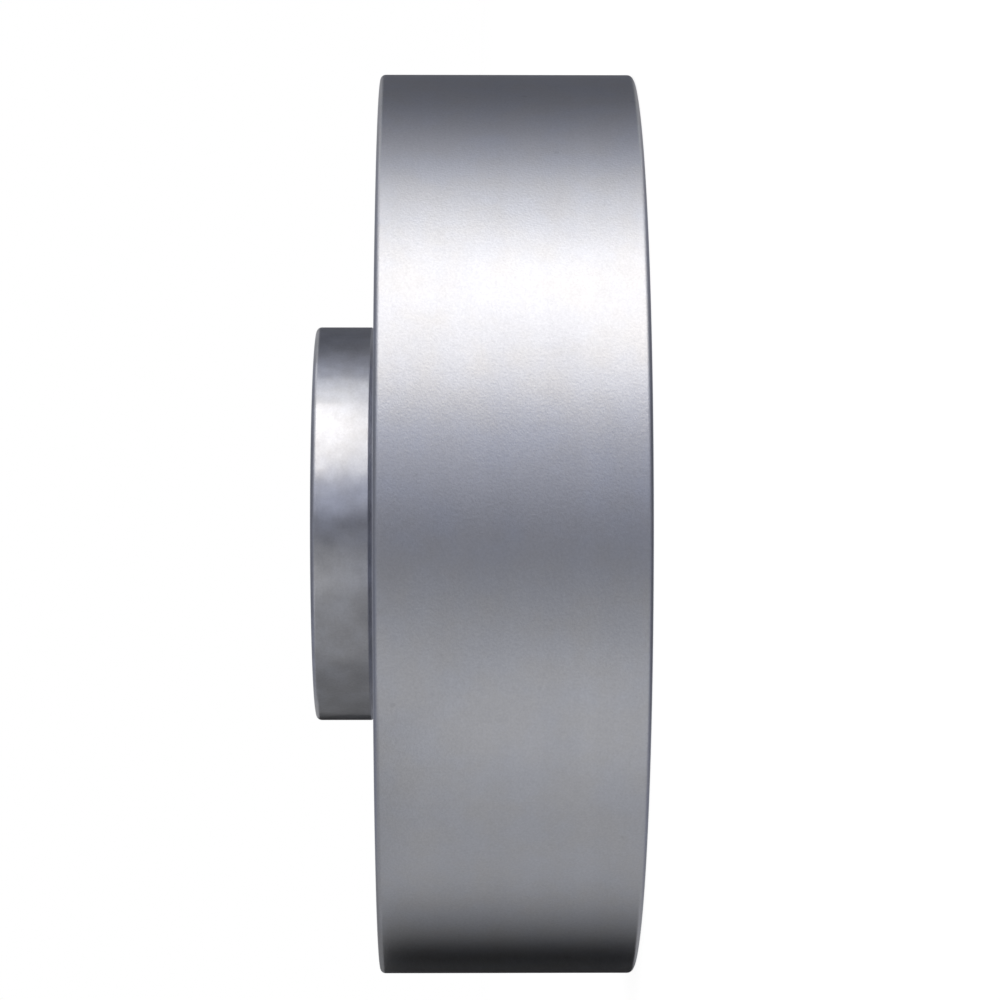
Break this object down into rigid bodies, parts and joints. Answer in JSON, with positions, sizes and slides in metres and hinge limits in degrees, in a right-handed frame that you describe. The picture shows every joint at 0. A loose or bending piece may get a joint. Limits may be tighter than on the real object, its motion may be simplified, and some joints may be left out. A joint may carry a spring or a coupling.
{
  "type": "wheel spacer",
  "caption": "Thick round turned disc with a short tubular centring spigot, a hub register, sunk fixing holes and tapped wheel bolt holes on one bolt circle.",
  "frame": {"origin": "centre of the hub face, which the part lies on", "axes": "+Z along the axis of the disc, from the hub face to the wheel face and the spigot; +Y through the centre of a fixing hole; +X to the right of it"},
  "size_m": [0.144, 0.144, 0.0504],
  "materials": {
    "aluminium": "satin, fine blasted grain over faint turning marks, clear anodised"
  },
  "bodies": {
    "root": {"spacer_body": "aluminium"}
  },
  "joints": []
}
